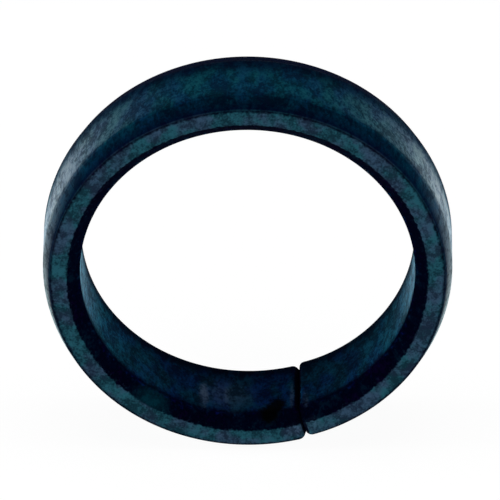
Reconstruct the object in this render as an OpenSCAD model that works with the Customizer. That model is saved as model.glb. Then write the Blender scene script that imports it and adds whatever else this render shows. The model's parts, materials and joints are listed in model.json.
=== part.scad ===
// Split-ring insulator for a fence tube: one moulded band, slit across, that springs open to go
// over the tube and is clamped shut on it. The three nodes are the regions that move as it springs.

/* [Tube] */
// Outside diameter of the fence tube that the ring grips
tube_d = 42.4; // [30:0.1:60]
// Gap between the tube and the bore, on the radius
tube_gap = 0.1; // [0.02:0.02:0.2]

/* [Ring] */
// Thickness of the wall, from the bore to the outside
wall = 4.75; // [4:0.05:8]
// Width of the ring, along its axis
ring_w = 13.2; // [10:0.1:30]
// Lead-in chamfer at each end of the bore, measured across the face
lead_in = 1.7; // [0.5:0.1:2]
// Lead-in chamfer at each end of the bore, measured along the bore
lead_depth = 1.6; // [0.5:0.1:3]
// How far the outside slopes in towards each face
shoulder_drop = 0.85; // [0.3:0.05:1.5]
// Width of that slope, along the axis
shoulder_w = 2.5; // [1:0.1:4]
// Radius of the softened edge between the slope and the face
face_round = 0.5; // [0.1:0.05:0.6]

/* [Slit] */
// Gap between the two ends
slit_w = 0.4; // [0.2:0.1:3]
// Where the slit is, in degrees round the axis from +X
slit_angle = -72.4; // [-180:0.2:180]
// Radius of the rounded corners of each end
end_round = 0.8; // [0.2:0.05:1.2]

/* [Flex] */
// How far the springy back reaches to each side of its middle, in degrees
spine_half = 50; // [20:1:80]

/* [Hidden] */
$fn = 180;

bore_r = tube_d / 2 + tube_gap;
outer_r = bore_r + wall;
face_r = outer_r - shoulder_drop;
face_z = ring_w / 2;

// The back's middle is opposite the slit, and the arms start where the spine ends.
back_angle = slit_angle + 180;
right_joint = back_angle - spine_half;
left_joint = back_angle + spine_half;
slit_left = slit_angle + 360;

// Tilt of the sloped shoulder from the axis, and the soft edge that joins it to the face
shoulder_tilt = atan2(shoulder_drop, shoulder_w);
soft_edge = face_round * tan(45 - shoulder_tilt / 2);
soft_steps = 4;
// How far a cut reaches past the wall, so that it leaves no skin
past = 1;
// How far a rounding's circle pokes past the walls that it joins, so that they cross cleanly
poke = 0.02;

plastic = [0.06, 0.12, 0.16];

function at(radius, angle) = [radius * cos(angle), radius * sin(angle)];
function arc(centre, radius, from, to, steps) =
    [for (i = [0 : steps]) centre + at(radius, from + (to - from) * i / steps)];
function flipped(points) =
    [for (i = [len(points) - 1 : -1 : 0]) [points[i].x, -points[i].y]];

// Section through the wall: X is the radius and Y runs along the axis, front face up.
module wall_section() {
    front = concat(
        [[bore_r, face_z - lead_depth], [bore_r + lead_in, face_z]],
        arc([face_r - soft_edge, face_z - face_round], face_round, 90, shoulder_tilt, soft_steps),
        [[outer_r, face_z - shoulder_w]]
    );
    polygon(concat(front, flipped(front)));
}

// A stretch of the ring, lying flat, between two angles
module stretch(from, to) {
    rotate([0, 0, from])
        rotate_extrude(angle = to - from)
            wall_section();
}

// What rounds one corner between an end's flat face and a round wall: corner_r is the wall's
// radius, and the rounding's centre lies inward of it (side -1, the outside) or outward (side 1).
module wall_corner(corner_r, side) {
    centre_r = corner_r + side * (end_round - poke);
    offset_y = slit_w / 2 + end_round - poke;
    centre_angle = asin(offset_y / centre_r);
    centre = at(centre_r, centre_angle);
    difference() {
        polygon([
            centre,
            [centre.x, slit_w / 2],
            [corner_r - side * past, slit_w / 2],
            at(corner_r - side * past, centre_angle)
        ]);
        translate(centre) circle(r = end_round, $fn = 48);
    }
}

// What rounds one corner between an end's flat face and the ring's face, in side view
module face_corner() {
    inward = end_round - poke;
    difference() {
        translate([slit_w / 2, face_z - inward]) square([inward, inward + past]);
        translate([slit_w / 2 + inward, face_z - inward]) circle(r = end_round, $fn = 48);
    }
}

// The slit's straight gap and its rounded mouths, cut along +X
module slit() {
    translate([bore_r - past, -slit_w / 2, -face_z - past])
        cube([wall + 2 * past, slit_w, ring_w + 2 * past]);
    for (end = [0, 1]) mirror([0, end, 0]) {
        translate([0, 0, -face_z - past]) linear_extrude(ring_w + 2 * past) {
            wall_corner(outer_r, -1);
            wall_corner(bore_r, 1);
        }
        for (face = [0, 1]) mirror([0, 0, face])
            translate([bore_r - past, 0, 0]) rotate([90, 0, 90])
                linear_extrude(wall + 2 * past) face_corner();
    }
}

// Stands the flat ring up on its rim, front face towards -Y
module standing() {
    rotate([90, 0, 0]) children();
}

module arm(from, to) {
    color(plastic) standing() difference() {
        stretch(from, to);
        rotate([0, 0, slit_angle]) slit();
    }
}

module left_arm() {
    arm(left_joint, slit_left);
}

module right_arm() {
    arm(slit_angle, right_joint);
}

module spine() {
    color(plastic) standing() stretch(right_joint, left_joint);
}

left_arm();
spine();
right_arm();
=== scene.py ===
# %% [markdown]
# # A split-ring insulator for a fence tube
# The real object is one moulding of black plastic with a blue cast: a short, thick ring,
# cut through once, so that it can be sprung open, put over a fence tube and clamped shut.
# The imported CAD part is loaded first, because it is the fixed frame. It gives the sizes,
# the mounts and the two hinges that stand for the springy back. Blender adds what the
# solids lack: soft moulded edges, rounded ends, grain, and light.

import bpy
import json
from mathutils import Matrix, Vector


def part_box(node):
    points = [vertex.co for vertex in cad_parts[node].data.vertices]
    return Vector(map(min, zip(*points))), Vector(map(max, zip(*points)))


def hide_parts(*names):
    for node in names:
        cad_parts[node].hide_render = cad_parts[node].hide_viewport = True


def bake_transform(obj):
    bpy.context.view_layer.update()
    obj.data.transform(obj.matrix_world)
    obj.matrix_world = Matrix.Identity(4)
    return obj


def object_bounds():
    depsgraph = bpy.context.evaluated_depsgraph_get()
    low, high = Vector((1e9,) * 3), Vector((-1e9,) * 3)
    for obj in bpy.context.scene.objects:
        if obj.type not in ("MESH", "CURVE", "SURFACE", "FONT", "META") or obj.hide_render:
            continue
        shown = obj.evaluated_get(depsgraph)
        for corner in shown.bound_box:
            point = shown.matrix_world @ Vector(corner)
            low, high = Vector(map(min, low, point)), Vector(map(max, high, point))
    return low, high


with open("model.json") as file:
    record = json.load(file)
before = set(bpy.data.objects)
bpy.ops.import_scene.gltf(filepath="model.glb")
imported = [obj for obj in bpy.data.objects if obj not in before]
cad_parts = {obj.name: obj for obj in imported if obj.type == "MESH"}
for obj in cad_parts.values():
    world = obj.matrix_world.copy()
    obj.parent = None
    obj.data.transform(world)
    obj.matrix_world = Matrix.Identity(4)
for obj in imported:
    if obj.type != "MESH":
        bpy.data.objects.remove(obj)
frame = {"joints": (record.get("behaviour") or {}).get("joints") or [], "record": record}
cad_low, cad_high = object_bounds()
print("CAD box in mm:", [round(side * 1000, 2) for side in cad_high - cad_low])

# %% [markdown]
# ## The camera
# The photograph looks down on the ring by about a third of a right angle, almost exactly
# from the front. Its far edge is hardly smaller than its near edge, so the lens is long
# and the camera is far away. The elevation, turn and scale were fitted to the outlines of
# the ring and of its hole. The picture is centred by aiming the camera a little beside
# the middle of the bore, so no lens shift is needed and other views stay centred.

# %% Set the camera
import math

import bpy
from mathutils import Vector

MM = 0.001
ELEVATION = math.radians(32.35)
AZIMUTH = math.radians(0.30)
DISTANCE = 1.5
LENS = 847.4
SENSOR = 36.0
AIM = Vector((0.285, 0, 0.25)) * MM

towards_camera = Vector((
    math.sin(AZIMUTH) * math.cos(ELEVATION),
    -math.cos(AZIMUTH) * math.cos(ELEVATION),
    math.sin(ELEVATION),
))
camera_data = bpy.data.cameras.new("camera")
camera_data.sensor_fit = "AUTO"
camera_data.sensor_width = SENSOR
camera_data.lens = LENS
camera_data.clip_start = 0.1
camera_data.clip_end = 20
camera = bpy.data.objects.new("camera", camera_data)
camera.location = AIM + towards_camera * DISTANCE
camera.rotation_mode = "QUATERNION"
camera.rotation_quaternion = towards_camera.to_track_quat("Z", "Y")
bpy.context.scene.collection.objects.link(camera)
bpy.context.scene.camera = camera
bpy.context.view_layer.update()
print("camera at", [round(place, 3) for place in camera.location])

# %% [markdown]
# ## Image points
# These are pixel places read off the photograph, which is 500 by 500. Some are single
# coordinates of an outline, and some are places of a feature. At the end the script
# measures how far the finished ring shows from each of them.

# %% Write down the image points
WIDTH, HEIGHT = 500, 500
POINTS = {
    "ring_left": (43.1, None),
    "ring_right": (453.8, None),
    "ring_top": (None, 56.7),
    "ring_bottom": (None, 444.0),
    "hole_left": (81.7, None),
    "hole_right": (413.0, None),
    "hole_top": (None, 128.5),
    "hole_bottom": (None, 371.2),
    "slit_at_rear_edge": (300.0, 370.0),
    "slit_in_bore": (298.8, 385.0),
    "slit_on_face": (304.6, 425.0),
    # The streak points mark painted reflections, the scuff and pale_end points painted
    # highlights, bright_patch painted light, and the stain points a black blotch.
    "streak_left": (204.0, 394.0),
    "streak_right": (227.0, 395.0),
    "stain_upper": (277.0, 405.0),
    "stain_lower": (269.0, 414.0),
    "scuff_left_of_slit": (292.0, 397.0),
    "scuff_right_of_slit": (305.5, 401.0),
    "pale_end_left": (296.0, 430.0),
    "pale_end_right": (314.0, 424.0),
    "bright_patch": (150.0, 401.0),
}
print(len(POINTS), "image points")

# %% [markdown]
# ## Sizes from the CAD
# The ring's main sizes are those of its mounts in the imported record: the bore, and the
# plain outside wall. Its width is the CAD box's. The lead-in, the shoulder's drop and the
# slit's angle aren't in the record as numbers, so they are repeated here. Lengths are in
# millimetres until they reach a mesh.

# %% Read the sizes
mounts = {mount["name"]: mount["dims"] for mount in frame["record"]["mounts"]}
bore_radius = mounts["bore"]["r_mm"]
bore_length = mounts["bore"]["length_mm"]
outer_radius = mounts["outer_wall"]["r_mm"]
outer_length = mounts["outer_wall"]["length_mm"]
ring_width = (cad_high.y - cad_low.y) / MM
LEAD_IN = 1.7
SHOULDER_DROP = 0.85
SLIT_ANGLE = -72.4
print(f"bore {2 * bore_radius:.1f}, outside {2 * outer_radius:.1f}, width {ring_width:.1f} mm")

# %% [markdown]
# ## The section
# Cut across, the wall is an eight-sided shape: bore, lead-in chamfer, flat face, sloped
# shoulder and outside wall, the same at the front and at the rear. A real moulding has no
# knife edges, so each corner becomes a small arc, and each arc has its own radius. The
# section could be a bevelled extrusion, but a list of corners with radii is easier to
# match to the photograph, and it can be shrunk inwards for the rounded ends.

# %% List the corners of the section
half_width = ring_width / 2
corners = [
    Vector((bore_radius, -bore_length / 2)),
    Vector((bore_radius + LEAD_IN, -half_width)),
    Vector((outer_radius - SHOULDER_DROP, -half_width)),
    Vector((outer_radius, -outer_length / 2)),
]
corners += [Vector((corner.x, -corner.y)) for corner in reversed(corners)]
# Bore to chamfer, chamfer to face, face to shoulder, shoulder to wall, then back again.
edge_radii = [0.30, 0.25, 0.50, 3.0]
edge_radii += edge_radii[::-1]
edge_steps = [4, 3, 6, 6]
edge_steps += edge_steps[::-1]
# Steps along the straight side after each corner: the chamfer's first, the bore's last.
run_steps = [3, 3, 2, 9, 2, 3, 3, 10]
SMALLEST_RADIUS = 0.04
print(len(corners), "corners")

# %% [markdown]
# ## Rounding the section
# The rounded edges come from the radii left in the mould. A corner's arc is found as with
# ruler and compasses: its middle lies on the line that halves the corner, and it starts
# where the first side touches it. To shrink the section, each side moves inwards by the
# same amount, and the arcs get tighter by that amount.

# %% Draw the section with rounded corners
def shrunk(outline, inset):
    """The same outline with each side moved inwards by inset."""
    moved = []
    for i, here in enumerate(outline):
        side_before = (here - outline[i - 1]).normalized()
        side_after = (outline[(i + 1) % len(outline)] - here).normalized()
        inward_before = Vector((-side_before.y, side_before.x))
        inward_after = Vector((-side_after.y, side_after.x))
        both = inward_before + inward_after
        moved.append(here + both * inset / (1 + inward_before.dot(inward_after)))
    return moved


def corner_arc(before, here, after, radius, steps):
    """The points of the arc that rounds the corner at here."""
    to_before = (before - here).normalized()
    to_after = (after - here).normalized()
    half = to_before.angle(to_after) / 2
    middle = here + (to_before + to_after).normalized() * radius / math.sin(half)
    first = here + to_before * radius / math.tan(half) - middle
    turn = math.pi - 2 * half
    arc = []
    for k in range(steps + 1):
        cos, sin = math.cos(turn * k / steps), math.sin(turn * k / steps)
        spun = Vector((first.x * cos - first.y * sin, first.x * sin + first.y * cos))
        arc.append(middle + spun)
    return arc


def section(inset):
    """The rounded section, shrunk by inset."""
    outline = shrunk(corners, inset)
    arcs = []
    for i, here in enumerate(outline):
        radius = max(edge_radii[i] - inset, SMALLEST_RADIUS)
        after = outline[(i + 1) % len(outline)]
        arcs.append(corner_arc(outline[i - 1], here, after, radius, edge_steps[i]))
    points = []
    for i, arc in enumerate(arcs):
        points += arc
        target = arcs[(i + 1) % len(arcs)][0]
        for k in range(1, run_steps[i]):
            points.append(arc[-1].lerp(target, k / run_steps[i]))
    return points


print(len(section(0)), "points in the section")

# %% [markdown]
# ## Stations round the ring
# The ring is that section carried round the axis, and a station is a place where a copy
# of it stands. A revolved solid would have sharp ends at the slit. Here the section
# shrinks along a quarter circle near the slit, which rolls the edges of both ends over as
# on the moulding. Further on the stations are a degree apart at most, so the rim shows no
# corners.

# %% Place the stations of the sweep
import bmesh

END_GAP = 0.06
END_STEPS = 9
STEP = 1.0
middle_radius = (bore_radius + outer_radius) / 2
half_slit = math.degrees(END_GAP / 2 / middle_radius)


def stations(end_round):
    """(degrees from the slit, inset) along one half, from its end face to the back."""
    end_turn = math.degrees(end_round / middle_radius)
    found = []
    for k in range(END_STEPS + 1):
        lean = math.radians(90 * k / END_STEPS)
        found.append((half_slit + end_turn * (1 - math.cos(lean)),
                      end_round * (1 - math.sin(lean))))
    first = found[-1][0]
    count = math.ceil((180 - first) / STEP)
    for k in range(1, count + 1):
        found.append((first + (180 - first) * k / count, 0))
    return found


print("stations ready, at most", STEP, "degree apart")

# %% [markdown]
# ## Sweeping it round
# The ends all but touch in the photograph, and they don't quite line up: the left one
# stands out by a few hundredths of a millimetre and the right one in by two tenths. So
# each end drifts off the circle over its last few millimetres. The ring flexes at two
# hinges, and one blended mesh can bend across only one of them, so it is made as two
# halves that meet, edge to edge, in the middle of the stiff back.

# %% Sweep the two halves
DRIFT_LENGTH = 4.0


def half_ring(name, side, drift, end_round):
    """One half of the ring: side is +1 to turn up from the slit, and -1 to turn down."""
    mesh = bmesh.new()
    rows = []
    for turned, inset in stations(end_round):
        angle = math.radians(SLIT_ANGLE + side * turned)
        from_end = math.radians(turned - half_slit) * middle_radius
        shift = drift * math.exp(-from_end / DRIFT_LENGTH)
        row = []
        for point in section(inset):
            radius = point.x + shift
            place = Vector((radius * math.cos(angle), point.y, radius * math.sin(angle)))
            row.append(mesh.verts.new(place * MM))
        rows.append(row)
    count = len(rows[0])
    for near, far in zip(rows, rows[1:]):
        for k in range(count):
            quad = [near[k], near[(k + 1) % count], far[(k + 1) % count], far[k]]
            mesh.faces.new(quad if side > 0 else quad[::-1])
    mesh.faces.new(rows[0][::-1] if side > 0 else rows[0])
    for face in mesh.faces:
        face.smooth = True
    data = bpy.data.meshes.new(name)
    mesh.to_mesh(data)
    mesh.free()
    half = bpy.data.objects.new(name, data)
    bpy.context.scene.collection.objects.link(half)
    return half


right_half = half_ring("right_half", side=1, drift=-0.2, end_round=0.85)
left_half = half_ring("left_half", side=-1, drift=0.05, end_round=0.95)
halves = (left_half, right_half)
for half in halves:
    print(half.name, len(half.data.vertices), "vertices")

# %% [markdown]
# ## Where the plastic was before it flexed
# The grain and mottling belong to the plastic, so they must not slide when the ring is
# sprung open. Each vertex remembers its place at rest, in millimetres, in an attribute,
# and the material reads that instead of the object's coordinates.

# %% Store the place at rest
for half in halves:
    rest = half.data.attributes.new("rest_mm", "FLOAT_VECTOR", "POINT")
    for vertex, entry in zip(half.data.vertices, rest.data):
        entry.vector = vertex.co / MM
print("attribute rest_mm stored")

# %% [markdown]
# ## At the hinges
# For each half, the hinge between its arm and the back is read from the record, and the
# tangent of the ring there is turned away from the arm. The half's placement is fixed into
# its mesh, and the CAD arm and spine are hidden.


def bend(half, arm, hinge_name):
    """Finds the hinge and its tangent, fixes the half's placement, hides the arm and spine."""
    joint = next(joint for joint in frame["joints"] if joint["name"] == hinge_name)
    hinge = Vector(joint["pos_m"])
    tangent = Vector((0, 1, 0)).cross(hinge).normalized()
    arm_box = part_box(arm)
    arm_middle = (arm_box[0] + arm_box[1]) / 2
    if tangent.dot(arm_middle - hinge) > 0:
        tangent = -tangent
    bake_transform(half)
    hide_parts(arm, "spine")
    print(half.name, "bends at", [round(place / MM, 2) for place in hinge])


bend(left_half, "left_arm", "left_flex")
bend(right_half, "right_arm", "right_flex")

# %% [markdown]
# ## From the photograph to the ring
# The painted highlights, the painted light and the black blotch are placed where they show
# in the photograph. One function casts a ray from the camera through a pixel onto the ring,
# and another gives the pixel at which a place shows. The rays meet both halves at once, in
# one search tree.

# %% Cast rays onto the ring
from mathutils.bvhtree import BVHTree

to_camera = camera.matrix_world.inverted()
long_side = max(WIDTH, HEIGHT)
ring_places = []
ring_faces = []
for half in halves:
    first = len(ring_places)
    ring_places += [vertex.co.copy() for vertex in half.data.vertices]
    ring_faces += [[first + k for k in face.vertices] for face in half.data.polygons]
ring_tree = BVHTree.FromPolygons(ring_places, ring_faces)


def pixel(place):
    """Where a place shows, in pixels of the photograph."""
    seen_at = to_camera @ place
    scale = long_side * LENS / SENSOR / -seen_at.z
    return WIDTH / 2 + seen_at.x * scale, HEIGHT / 2 - seen_at.y * scale


def place_under(x, y):
    """The place on the ring that shows at a pixel: the ray's hit, or the nearest place."""
    direction = Vector((
        x - WIDTH / 2 + camera_data.shift_x * long_side,
        HEIGHT / 2 - y + camera_data.shift_y * long_side,
        -long_side * LENS / SENSOR,
    ))
    direction = (camera.matrix_world.to_3x3() @ direction).normalized()
    hit = ring_tree.ray_cast(camera.location, direction)[0]
    if hit is None:
        along = (AIM - camera.location).dot(direction)
        hit = ring_tree.find_nearest(camera.location + direction * along)[0]
    return hit


mark_places = {
    name: place_under(*POINTS[name]) for name in POINTS
    if name.startswith(("streak", "stain", "scuff", "pale", "bright"))
}
for name, place in mark_places.items():
    print(f"{name:20}", [round(side / MM, 2) for side in place])

# %% [markdown]
# ## A wire for shader sums
# A material is a tree of nodes. This class wraps one output socket, so that sums on it
# read as plain Python and add their Math nodes by themselves. Every other node comes from
# its one method, which sets the node's settings first and then its sockets.

# %% Define the wire
class Wire:
    """An output socket that can be added, multiplied and so on."""

    def __init__(self, tree, socket=None):
        self.tree = tree
        self.socket = socket

    def node(self, kind, settings=None, sockets=None, output=0):
        """Any node: its settings, then the values or wires of its sockets."""
        made = self.tree.nodes.new(kind)
        for name, value in (settings or {}).items():
            if name == "stops":
                ramp = made.color_ramp
                while len(ramp.elements) < len(value):
                    ramp.elements.new(0.5)
                for element, (place, colour) in zip(ramp.elements, value):
                    element.position = place
                    element.color = (*colour, 1)
            else:
                setattr(made, name, value)
        for name, value in (sockets or {}).items():
            if isinstance(value, Wire):
                self.tree.links.new(value.socket, made.inputs[name])
            else:
                made.inputs[name].default_value = value
        return Wire(self.tree, made.outputs[output] if made.outputs else None)

    def sum(self, operation, first, second=0.0):
        """A Math node on one value or two."""
        return self.node("ShaderNodeMath", {"operation": operation}, {0: first, 1: second})

    def __add__(self, other):
        return self.sum("ADD", self, other)

    def __sub__(self, other):
        return self.sum("SUBTRACT", self, other)

    def __rsub__(self, other):
        return self.sum("SUBTRACT", other, self)

    def __mul__(self, other):
        return self.sum("MULTIPLY", self, other)

    def __rmul__(self, other):
        return self.sum("MULTIPLY", other, self)

    def __pow__(self, other):
        return self.sum("POWER", self, other)

    def __radd__(self, other):
        return self.sum("ADD", other, self)

    def ease(self, low, high):
        """0 below low, 1 above high, and a smooth turn between them."""
        return self.node(
            "ShaderNodeMapRange",
            {"interpolation_type": "SMOOTHSTEP"},
            {"Value": self, "From Min": low, "From Max": high},
        )


print("wire ready")

# %% [markdown]
# ## The moulded plastic
# The plastic is black with a strong blue cast. Close up, the photograph shows three
# things: a fine grain like that of a spark-eroded mould, soft blotches of teal and violet
# a few millimetres wide, and bright grey-blue sides where the grain catches light that
# skims it. The last is what a sheen layer does, so the finishes below have one, and their
# gloss is tinted blue. The rest is noise at those sizes, read at the place at rest. First
# come each point's depth in the wall and its place along the axis, in millimetres, since
# they tell one surface of the ring from another.

# %% Start the plastic and measure where each point is
plastic = bpy.data.materials.new("moulded_plastic")
plastic.use_nodes = True
plastic.node_tree.nodes.clear()
wires = Wire(plastic.node_tree)
rest = wires.node("ShaderNodeAttribute", {"attribute_name": "rest_mm"}, output=1)
parts = wires.node("ShaderNodeSeparateXYZ", None, {0: rest})
rest_x, rest_y, rest_z = [Wire(parts.tree, socket) for socket in parts.socket.node.outputs]
into_wall = (rest_x * rest_x + rest_z * rest_z) ** 0.5 - bore_radius
off_middle = wires.sum("ABSOLUTE", rest_y)
past_bore = off_middle - bore_length / 2
print("depth in the wall and place along the axis ready")

# %% [markdown]
# ## The noises
# The mottling of a moulding comes from the flow of its pigment, and its grain from the
# mould's surface, so each has a noise of its own size. The cloud gives dark and pale
# flecks, the tone gives the colour, the sparks are small bright specks, and the ragged
# one pushes the borders between finishes to and fro, by a quarter of a millimetre at
# most. The blotches are drawn out along the axis, so their coordinates are squeezed
# along it.

# %% Make the noises
AXIS_SQUEEZE = 0.55
RAGGED_REACH = 0.5


def noise(size, detail=2.0, roughness=0.5, where=rest):
    """Soft noise whose blotches are about size millimetres wide, from 0 to 1."""
    return wires.node(
        "ShaderNodeTexNoise",
        None,
        {"Vector": where, "Scale": 1 / size, "Detail": detail, "Roughness": roughness},
    )


stretched = wires.node(
    "ShaderNodeVectorMath", {"operation": "MULTIPLY"}, {0: rest, 1: (1, AXIS_SQUEEZE, 1)}
)
grain = noise(size=0.35, detail=1.0)
cloud = noise(size=2.2, detail=3.5, roughness=1.0, where=stretched)
tone = noise(size=2.6, detail=3.0, roughness=0.45, where=stretched)
sparks = noise(size=0.55, detail=2.0, roughness=0.8).ease(0.54, 0.70)
ragged = (noise(size=0.5, detail=1.0) - 0.5) * RAGGED_REACH
print("noises made")

# %% [markdown]
# ## Colour of the plastic
# Each fleck of the mottling leans from violet-navy to teal, as moulded plastic does where
# the pigment has flowed unevenly. The face, the outside wall and the bore each have a
# ramp, because each differs a little in hue in the photograph. The chamfers are painted
# nearly black, as shade, and that ramp also follows the cloud and colours the dark flecks.

# %% Mix the colours
TONE_SPREAD = 2.2
CHAMFER_TONE_SPREAD = 1.2


def colours(place, *stops):
    """A ramp of colours along a value, each stop a place and a colour."""
    return wires.node("ShaderNodeValToRGB", {"stops": stops}, {"Fac": place})


def brighter(colour, factor):
    """The same colour, factor times as bright."""
    return wires.node(
        "ShaderNodeVectorMath", {"operation": "SCALE"}, {0: colour, "Scale": factor}
    )


tint_place = (tone - 0.5) * TONE_SPREAD + 0.5
face_colour = colours(
    tint_place,
    (0.30, (0.0130, 0.0265, 0.047)),
    (0.50, (0.0110, 0.0310, 0.049)),
    (0.70, (0.0065, 0.0360, 0.048)),
)
wall_colour = colours(
    tint_place,
    (0.30, (0.001, 0.015, 0.047)),
    (0.70, (0.001, 0.026, 0.040)),
)
bore_colour = colours(
    tint_place,
    (0.30, (0.001, 0.003, 0.048)),
    (0.70, (0.001, 0.011, 0.033)),
)
shade_and_fleck_colour = colours(
    (tone - 0.5) * CHAMFER_TONE_SPREAD + (0.5 - cloud) * TONE_SPREAD + 0.5,
    (0.15, (0.0016, 0.0006, 0.009)),
    (0.35, (0.0002, 0.0005, 0.0042)),
    (0.65, (0.0003, 0.0010, 0.0065)),
    (0.90, (0.0006, 0.0050, 0.013)),
)
pale_face_colour = brighter(face_colour, 1.8)
pale_wall_colour = brighter(wall_colour, 1.9)
pale_bore_colour = brighter(bore_colour, 2.0)
print("colours mixed")

# %% [markdown]
# ## Which surface is which
# The bore, the chamfer, the face, the shoulder's slope and the wall differ in finish. They
# could be separate materials, but then each border would be a straight seam between
# faces. Masks worked out from the depth in the wall and the place along the axis give
# borders that are soft and, where the photograph shows it, ragged. All limits are in
# millimetres.

# %% Mask the surfaces
CHAMFER_WANDER = 3.5
SLOPE_WANDER = 0.5
shoulder_depth = outer_radius - SHOULDER_DROP - bore_radius
past_wall = off_middle - outer_length / 2
on_bore = 1 - into_wall.ease(0.1, 0.25)
on_inside = 1 - into_wall.ease(1.0, 1.3)
on_face = past_bore.ease(1.0, 1.3)
on_outside = into_wall.ease(shoulder_depth - 0.15, shoulder_depth + 0.1)
on_slope = on_outside * (past_wall + ragged * SLOPE_WANDER).ease(-0.1, 0.2)
on_chamfer = (past_bore + ragged * CHAMFER_WANDER).ease(-0.5, 0.3)
on_chamfer = on_chamfer * (LEAD_IN - into_wall + ragged).ease(-0.12, 0.12)
print("surfaces masked")

# %% [markdown]
# ## Painted shade on the edges and in the slit
# The lead-in chamfers are painted almost black all the way round, and so are the outer
# edge of the face and the two ends at the slit: this is painted shade. The outside wall
# and the bore are painted darker, as shade, at their front edge and towards their rear.
# Ramps along the axis say how dark each is, and a little noise makes the borders ragged.
# On the face the painted shade along the slit is narrower than in the bore, and a little
# to one side.

# %% Paint shade on the edges and in the slit
EDGE_SHADE = 0.95
SLIT_WANDER = 0.6
FACE_SLIT_SHIFT = 0.2
FACE_SLIT_NARROWING = 0.3


def along_axis(*stops):
    """A value that follows stops of (millimetres behind the middle, value)."""
    place = (rest_y + ragged) * (1 / ring_width) + 0.5
    return colours(place, *[(at / ring_width + 0.5, (value,) * 3) for at, value in stops])


def largest(masks):
    """The largest of several masks at each place."""
    whole = masks[0]
    for mask in masks[1:]:
        whole = wires.sum("MAXIMUM", whole, mask)
    return whole


# Painted shade on the outside wall: darker at its front edge, on a lip, and towards its rear.
shade_outside = along_axis(
    (-6.5, 0.97), (-5.9, 0.6), (-4.8, 0.1), (-4.2, 0.2), (-3.8, 0.45), (-3.1, 0.1),
    (-2.0, 0.0), (0.0, 0.1), (1.6, 0.25), (3.0, 0.75), (4.4, 1.0),
)
# Painted shade in the bore: darker at its front edge and towards its rear.
shade_bore = along_axis(
    (-5.2, 0.97), (-4.7, 0.6), (-4.0, 0.05), (1.0, 0.05), (3.0, 0.45), (4.2, 0.9)
)
# A line of painted shade along the face's outer edge.
face_edge_shade = (into_wall + ragged).ease(shoulder_depth - 0.5, shoulder_depth - 0.1)
face_edge_shade = face_edge_shade * (1 - on_outside) * EDGE_SHADE
# Painted shade along the slit, over both ends.
slit = math.radians(SLIT_ANGLE)
towards_slit = rest_x * math.cos(slit) + rest_z * math.sin(slit)
across_slit = rest_z * math.cos(slit) - rest_x * math.sin(slit) + ragged * SLIT_WANDER
across_slit = (across_slit - on_face * FACE_SLIT_SHIFT) * (1 + on_face * FACE_SLIT_NARROWING)
slit_shade = (1 - across_slit.ease(0.35, 0.5)) * across_slit.ease(-0.62, -0.45)
slit_shade = slit_shade * towards_slit.ease(0.0, 1.0)
# All the painted shade together: chamfers, bore bands, face edge and slit.
shade_and_dark_flecks = largest([on_chamfer, on_bore * shade_bore, face_edge_shade, slit_shade])
print("edges and slit darkened")

# %% [markdown]
# ## Flecks
# Pigment that has clumped leaves dark flecks, and a rubbed grain leaves pale ones. Where
# the cloud is high the plastic is speckled dark, and where it is low it is pale, with the
# sparks as single bright specks. The dark flecks stop at half strength, so that no blotch
# is flat black.

# %% Scatter the flecks
DARK_CONTRAST = 6.0
DARK_SHIFT = 0.06
DARK_LIMIT = 0.5
PALE_CONTRAST = 9.0
CHAMFER_SPARKS = 0.1
dark_flecks = wires.node(
    "ShaderNodeClamp",
    None,
    {"Value": (cloud - 0.5) * DARK_CONTRAST + DARK_SHIFT, "Max": DARK_LIMIT},
)
pale_flecks = wires.node("ShaderNodeClamp", None, {"Value": (0.5 - cloud) * PALE_CONTRAST})
pale_flecks = largest([pale_flecks, sparks])
# The painted shade and the plastic's own dark flecks, in one mask.
shade_and_dark_flecks = 1 - (1 - shade_and_dark_flecks) * (1 - dark_flecks)
shade_and_dark_flecks = shade_and_dark_flecks * (1 - on_chamfer * sparks * CHAMFER_SPARKS)
print("flecks scattered")

# %% [markdown]
# ## Painted highlights, painted light and a black blotch
# Near the slit, light is painted on: two pale streaks in the bore left of the slit are
# painted reflections, and pale lines on both sides of the slit and pale tips on the two
# ends are painted highlights on the rounded ends. A lighter teal patch at the lower left
# is painted light in the chamfer's painted shade. The bore left of the slit also has a
# black blotch. Each is a soft spot round a place that was found by its ray, with a reach
# round the ring and another along the axis. The cloud breaks up the highlights and the
# patch, and the highlights all but miss the chamfer.

# %% Place the marks
CHAMFER_MISS = 0.8
BLOTCH_STRENGTH = 0.96
LIT_PATCH_STRENGTH = 0.75


def spot(name, round_reach, axis_reach):
    """1 at a mark's place, fading to 0 at a reach round the ring and along its axis."""
    place = mark_places[name] / MM
    away = wires.node("ShaderNodeVectorMath", {"operation": "SUBTRACT"}, {0: rest, 1: place})
    away = wires.node("ShaderNodeVectorMath", {"operation": "DIVIDE"},
                      {0: away, 1: (round_reach, axis_reach, round_reach)})
    distance = wires.node("ShaderNodeVectorMath", {"operation": "LENGTH"}, {0: away}, output=1)
    return 1 - (distance + ragged).ease(0.1, 1.1)


# Each painted highlight: its point, its reach round the ring and along the axis, and its
# strength.
PAINTED_HIGHLIGHTS = [
    ("streak_left", 0.9, 3.6, 0.7),
    ("streak_right", 0.7, 3.2, 0.45),
    ("streak_right", 4.4, 4.2, 0.25),
    ("scuff_left_of_slit", 0.4, 4.2, 0.3),
    ("scuff_right_of_slit", 0.55, 3.4, 0.4),
    ("pale_end_left", 1.2, 1.0, 0.5),
    ("pale_end_right", 1.3, 1.0, 0.4),
]
# Painted reflections in the bore and painted highlights on the rounded ends by the slit.
painted_highlights = largest([
    spot(name, round_reach, axis_reach) * strength
    for name, round_reach, axis_reach, strength in PAINTED_HIGHLIGHTS
])
painted_highlights = painted_highlights * (1.2 - cloud.ease(0.4, 0.6)) * (1 - on_chamfer * CHAMFER_MISS)
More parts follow.
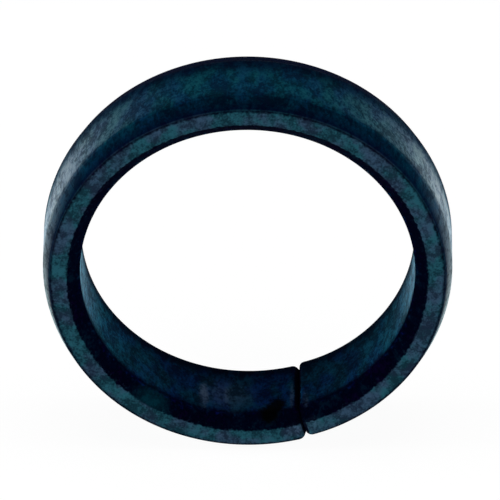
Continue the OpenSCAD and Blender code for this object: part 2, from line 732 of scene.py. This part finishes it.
# A black blotch in the bore left of the slit.
stain = 1 - (1 - spot("stain_upper", 1.5, 2.6)) * (1 - spot("stain_lower", 1.7, 2.4))
stain = (stain * 1.6).ease(0.05, 1.4) * BLOTCH_STRENGTH
# A lighter teal patch: painted light in the chamfer's painted shade.
lit_patch = spot("bright_patch", 3.0, 2.6) * (1.3 - cloud.ease(0.42, 0.6) * 0.7)
lit_patch = lit_patch * on_chamfer * LIT_PATCH_STRENGTH
print(len(PAINTED_HIGHLIGHTS), "scuffs, a stain and a patch placed")

# %% [markdown]
# ## The finishes
# One shader can't be saturated teal on top and whitish grey where the wall turns away, as
# the photograph shows, so there are several. They differ in gloss, which is how much they
# mirror, and in sheen, which is how the grain catches light that skims it. Those that are
# swapped by the angle of view share one base colour at each place, so that only gloss and
# sheen change with it, as on real grained plastic. A bump of grain and cloud breaks up
# the light on all of them.

# %% Make the finishes
BLUE_GLOSS = (0.05, 0.5, 1.0)
# The shoulder's slope is the wall's plastic, painted near-black: painted shade.
SLOPE_SHADE_BLACK = (0.0004, 0.001, 0.003, 1)
SMOOTH, MATT = 0.3, 0.7
GRAIN_SWING = 0.1
BUMP_STRENGTH = 0.25
BUMP_DEPTH = 0.1 * MM
smooth = SMOOTH + GRAIN_SWING * (grain - 0.5)
matt = MATT + GRAIN_SWING * (grain - 0.5)
bump = wires.node(
    "ShaderNodeBump",
    None,
    {"Height": grain + cloud, "Strength": BUMP_STRENGTH, "Distance": BUMP_DEPTH},
)


def finish(colour, roughness, gloss, sheen=0.0, spread=0.3, tint=(0.2, 0.6, 1.0)):
    """One finish of the plastic: spread and tint are those of its sheen."""
    return wires.node("ShaderNodeBsdfPrincipled", None, {
        "Base Color": colour,
        "Roughness": roughness,
        "Normal": bump,
        "Specular IOR Level": gloss,
        "Specular Tint": (*BLUE_GLOSS, 1),
        "Sheen Weight": sheen,
        "Sheen Roughness": spread,
        "Sheen Tint": (*tint, 1),
    })


GREY_SHEEN = (0.44, 0.74, 0.97)
wall = finish(wall_colour, smooth, 0.001, 1.0, tint=(0.04, 0.58, 1.0))
wall_pale = finish(pale_wall_colour, smooth, 0.003, 1.0, tint=(0.08, 0.85, 1.0))
wall_skimmed = finish(wall_colour, smooth, 0.12, 1.0, tint=GREY_SHEEN)
wall_skimmed_pale = finish(
    pale_wall_colour, smooth, 0.3, 1.0, spread=0.35, tint=(0.75, 0.95, 1.0)
)
slope = finish(SLOPE_SHADE_BLACK, smooth, 0.003, 0.4, spread=0.45, tint=(0.0, 0.47, 1.0))
slope_skimmed = finish(SLOPE_SHADE_BLACK, smooth, 0.12, 0.85, spread=0.45, tint=(0.1, 0.52, 1.0))
slope_grazed = finish(SLOPE_SHADE_BLACK, smooth, 0.3, 1.0, tint=(0.52, 0.92, 1.0))
inside = finish(bore_colour, smooth, 0.0008, 0.6, tint=(0.015, 0.55, 0.87))
inside_pale = finish(pale_bore_colour, smooth, 0.0008, 1.0, tint=(0.03, 0.66, 1.0))
inside_skimmed = finish(bore_colour, smooth, 0.12, 1.0, tint=GREY_SHEEN)
inside_skimmed_pale = finish(pale_bore_colour, smooth, 0.12, 1.0, tint=GREY_SHEEN)
front = finish(face_colour, matt, 0.2)
front_pale = finish(pale_face_colour, matt, 0.2)
# Painted shade for the outside wall's front edge, lip and rear.
rear_shade = finish((0.0004, 0.003, 0.016, 1), matt, 0.002)
# The near-black finish of the painted shade, which the dark flecks share.
shade_and_fleck_black = finish(shade_and_fleck_colour, matt, 0.002)
# Painted light for the lighter patch in the chamfer.
lit_patch_finish = finish((0.001, 0.021, 0.034, 1), matt, 0.002)
# The finish of the painted highlights and reflections.
highlight_finish = finish((0.048, 0.078, 0.135, 1), matt, 0.2, 0.5, tint=(0.4, 0.65, 1.0))
# The finish of the black blotch.
blotch_finish = finish((0.0003, 0.0004, 0.0003, 1), matt, 0.002)
print("finishes made")

# %% [markdown]
# ## Putting the finishes together
# Gloss and sheen could vary inside one shader, but an exported model keeps only even
# values of them, so whole finishes are mixed. Layer Weight's facing value is 0 where the
# surface faces the eye and 1 where it turns away, and it brings in the skimmed finishes.
# Then the masks lay one surface over another, and the painted shade with the dark flecks,
# the painted light of the patch, the painted highlights and the black blotch go on top.

# %% Blend the finishes
REAR_SKIM_LOSS = 0.6
BORE_SKIM = 0.3
SLOPE_FLECKS = 0.4


def blend_finish(mask, below, above):
    """The finish above where mask is 1, and the finish below where it is 0."""
    return wires.node("ShaderNodeMixShader", None, {0: mask, 1: below, 2: above})


facing = wires.node("ShaderNodeLayerWeight", None, {"Blend": 0.5}, output=1)
skim = facing.ease(0.48, 0.86) * (1 - rest_y.ease(0.5, 4.0) * REAR_SKIM_LOSS)
front = blend_finish(pale_flecks, front, front_pale)
wall = blend_finish(pale_flecks, wall, wall_pale)
wall = blend_finish(skim, wall, blend_finish(pale_flecks, wall_skimmed, wall_skimmed_pale))
slope = blend_finish(facing.ease(0.42, 0.72), slope, slope_skimmed)
slope = blend_finish(facing.ease(0.42, 0.80), slope, slope_grazed)
inside = blend_finish(pale_flecks, inside, inside_pale)
inside_skimmed = blend_finish(pale_flecks, inside_skimmed, inside_skimmed_pale)
inside = blend_finish(facing.ease(0.7, 0.95) * BORE_SKIM, inside, inside_skimmed)
outside = blend_finish(on_slope * (1 - pale_flecks * SLOPE_FLECKS), wall, slope)
# Painted shade at the outside wall's front edge and towards its rear.
outside = blend_finish(shade_outside, outside, rear_shade)
whole = blend_finish(on_outside, front, outside)
for mask, above in (
    (on_inside, inside),
    (shade_and_dark_flecks, shade_and_fleck_black),
    (lit_patch, lit_patch_finish),
    (painted_highlights, highlight_finish),
    (stain, blotch_finish),
):
    whole = blend_finish(mask, whole, above)
wires.node("ShaderNodeOutputMaterial", None, {"Surface": whole})
for half in halves:
    half.data.materials.append(plastic)
print("plastic made of", len(plastic.node_tree.nodes), "nodes")

# %% [markdown]
# ## The floor
# The ring stands on its rim on white paper, as it would on a studio table. The paper
# could be lit until it is white, but then the ring would be too bright. So Light Path
# makes it glow for the camera, in gloss and through glass, and it stays plain paper for
# all other light. A little of the paper shows through the glow, and with it the shadow.

# %% Lay the floor
FLOOR_REACH = 4
PAPER_GREY = 0.85
GLOW = 1.1
GLOW_SHARE = 0.85


def looked_at(tree_wires):
    """1 for rays from the camera, from gloss and through glass, and 0 for light."""
    ray = tree_wires.node("ShaderNodeLightPath")
    outputs = ray.socket.node.outputs
    glossy = Wire(ray.tree, outputs["Is Glossy Ray"])
    through = Wire(ray.tree, outputs["Is Transmission Ray"])
    return ray.sum("MINIMUM", ray + glossy + through, 1.0)


floor_data = bpy.data.meshes.new("floor")
floor_data.from_pydata(
    [(x * FLOOR_REACH, y * FLOOR_REACH, 0) for x, y in ((-1, -1), (1, -1), (1, 1), (-1, 1))],
    [],
    [(0, 1, 2, 3)],
)
floor = bpy.data.objects.new("floor", floor_data)
floor.location.z = min(place.z for place in ring_places)
bpy.context.scene.collection.objects.link(floor)
paper = bpy.data.materials.new("white_paper")
paper.use_nodes = True
paper.node_tree.nodes.clear()
paper_wires = Wire(paper.node_tree)
lit = paper_wires.node("ShaderNodeBsdfDiffuse", None, {"Color": (*[PAPER_GREY] * 3, 1)})
glow = paper_wires.node("ShaderNodeEmission", None, {"Color": (1, 1, 1, 1), "Strength": GLOW})
paper_surface = paper_wires.node(
    "ShaderNodeMixShader", None, {0: looked_at(paper_wires) * GLOW_SHARE, 1: lit, 2: glow}
)
paper_wires.node("ShaderNodeOutputMaterial", None, {"Surface": paper_surface})
floor_data.materials.append(paper)
print("floor at", round(floor.location.z / MM, 3), "mm")

# %% [markdown]
# ## Room and lamps
# The photograph's background is white. A white room would also light the ring evenly and
# hide its form, so the room is white to the eye and in gloss, and nearly black as a
# light. The lamps alone shape the ring. They are five softboxes: a broad one in front,
# one at each side for the pale rims, and weak ones above and behind that keep the other
# views from going black. The left rim is the paler one in the photograph, so the left
# lamp is stronger than the right one.

# %% Light the ring
DIM_ROOM = 0.01
world = bpy.data.worlds.new("room")
world.use_nodes = True
bpy.context.scene.world = world
world.node_tree.nodes.clear()
room = Wire(world.node_tree)
white = room.node("ShaderNodeBackground", None, {"Color": (1, 1, 1, 1), "Strength": 1.0})
dim = room.node("ShaderNodeBackground", None, {"Color": (1, 1, 1, 1), "Strength": DIM_ROOM})
air = room.node("ShaderNodeMixShader", None, {0: looked_at(room), 1: dim, 2: white})
room.node("ShaderNodeOutputWorld", None, {"Surface": air})

# Each softbox: its place and its size in metres, and its power in watts.
SOFTBOXES = {
    "front_box": ((0, -1.5, 0.2), (1.5, 0.5), 18),
    "left_box": ((-1.2, 0, 0.28), (0.4, 0.6), 8.6),
    "right_box": ((1.2, 0, 0.28), (0.4, 0.6), 6.3),
    "top_box": ((0, 0, 1.0), (0.9, 0.9), 3),
    "back_box": ((0, 1.5, 0.1), (1.5, 0.25), 1.5),
}
for name, (place, size, power) in SOFTBOXES.items():
    data = bpy.data.lights.new(name, "AREA")
    data.shape = "RECTANGLE"
    data.size, data.size_y = size
    data.energy = power
    lamp = bpy.data.objects.new(name, data)
    lamp.location = place
    lamp.rotation_mode = "QUATERNION"
    lamp.rotation_quaternion = Vector(place).to_track_quat("Z", "Y")
    bpy.context.scene.collection.objects.link(lamp)
    print(f"{name:10}", power, "W")
bpy.context.scene.view_settings.view_transform = "Standard"

# %% [markdown]
# ## Measuring the picture
# The finished ring is compared with the image points, by its vertices that show. A box
# round the ring would be quicker to project, but its corners stand clear of the ring. The
# ring's limits are those of all the vertices that show. A limit of the hole is where the
# innermost vertices of each narrow band reach furthest out.

# %% Find the limits of the ring and its hole
BESIDE_RAY = 0.02 * MM
BAND = 4.0


def shows(place):
    """Whether nothing of the ring stands between a place and the camera."""
    start = place + (camera.location - place).normalized() * BESIDE_RAY
    return ring_tree.ray_cast(start, (camera.location - start).normalized())[0] is None


shown = [pixel(place) for place in ring_places if shows(place)]
across = [x for x, y in shown]
down = [y for x, y in shown]
middle = pixel(Vector((0, 0, 0)))


def hole_limit(axis, sign):
    """The hole's limit towards sign along x (axis 0) or y (axis 1)."""
    innermost = {}
    for place in shown:
        reach = (place[axis] - middle[axis]) * sign
        band = round(place[1 - axis] / BAND)
        if reach > 0:
            innermost[band] = min(reach, innermost.get(band, long_side))
    return middle[axis] + sign * max(innermost.values())


found = {
    "ring_left": (min(across), None),
    "ring_right": (max(across), None),
    "ring_top": (None, min(down)),
    "ring_bottom": (None, max(down)),
    "hole_left": (hole_limit(0, -1), None),
    "hole_right": (hole_limit(0, 1), None),
    "hole_top": (None, hole_limit(1, -1)),
    "hole_bottom": (None, hole_limit(1, 1)),
}
print(len(shown), "vertices show")

# %% [markdown]
# ## How far each point is off
# The slit is a line of shadow between two ends, so a point of it lies midway between the
# nearest vertices of the two rounded ends. A mark shows where its ray struck the ring.
# Each point's difference from the photograph is worked out.

# %% Measure how far each image point is off
import json


def rounded_end(first):
    """The pixels of a half's rounded end that show, from its first vertex on."""
    last = first + (END_STEPS + 1) * len(section(0))
    return [pixel(place) for place in ring_places[first:last] if shows(place)]


ends = [rounded_end(0), rounded_end(len(left_half.data.vertices))]


def slit_near(point):
    """Midway between the nearest places of the two ends to a point."""
    nearest = [min(end, key=lambda place: math.dist(place, point)) for end in ends]
    return [(left + right) / 2 for left, right in zip(*nearest)]


for name, wanted in POINTS.items():
    if name.startswith("slit"):
        found[name] = slit_near(wanted)
    elif name in mark_places:
        found[name] = pixel(mark_places[name])
for name, wanted in POINTS.items():
    [None if there is None else round(here - there, 2)
                         for here, there in zip(found[name], wanted)]
